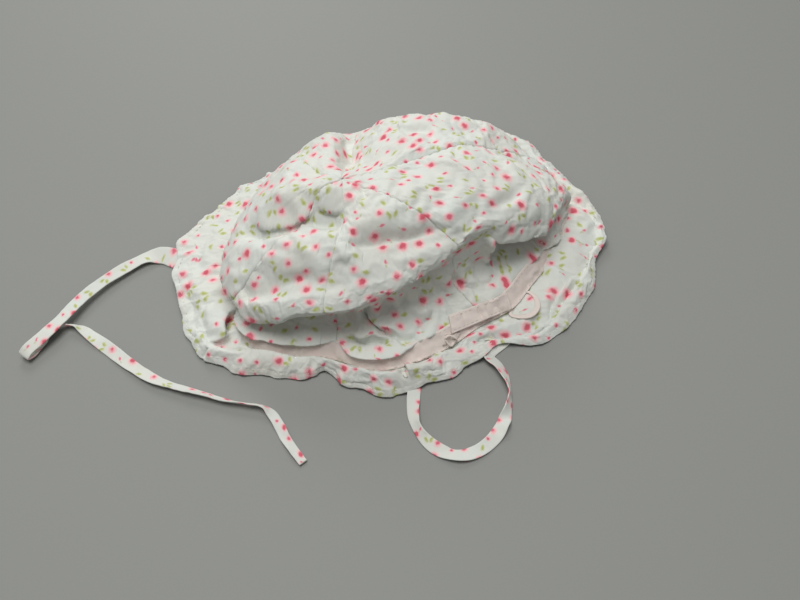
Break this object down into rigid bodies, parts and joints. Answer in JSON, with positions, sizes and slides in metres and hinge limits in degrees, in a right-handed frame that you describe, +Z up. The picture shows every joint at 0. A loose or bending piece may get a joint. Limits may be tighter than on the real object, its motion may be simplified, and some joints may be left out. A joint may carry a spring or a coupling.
{
  "type": "baby sun hat",
  "caption": "Soft baby sun hat of thin printed cotton, lying crumpled, with a gored crown, a cream tape over the head seam, a soft brim and two ties.",
  "frame": {"origin": "middle of the underside of the hat without its ties, on the surface that it lies on", "axes": "+Z up from the surface, -Y towards the front, where the crown slumps over in a roll, +X to the viewer's right"},
  "size_m": [0.3061, 0.2284, 0.0638],
  "materials": {
    "printed_cotton": "matt cotton poplin, pale mint white with a small pink and green floral print",
    "cream_tape": "matt cream cotton tape"
  },
  "bodies": {
    "root": {"crown_panel_1": "printed_cotton", "crown_panel_2": "printed_cotton", "crown_panel_3": "printed_cotton", "crown_panel_4": "printed_cotton", "crown_panel_5": "printed_cotton", "crown_panel_6": "printed_cotton", "head_tape": "cream_tape", "tape_lap": "cream_tape", "brim": "printed_cotton", "tie_left": "printed_cotton", "tie_right": "printed_cotton"}
  },
  "joints": []
}
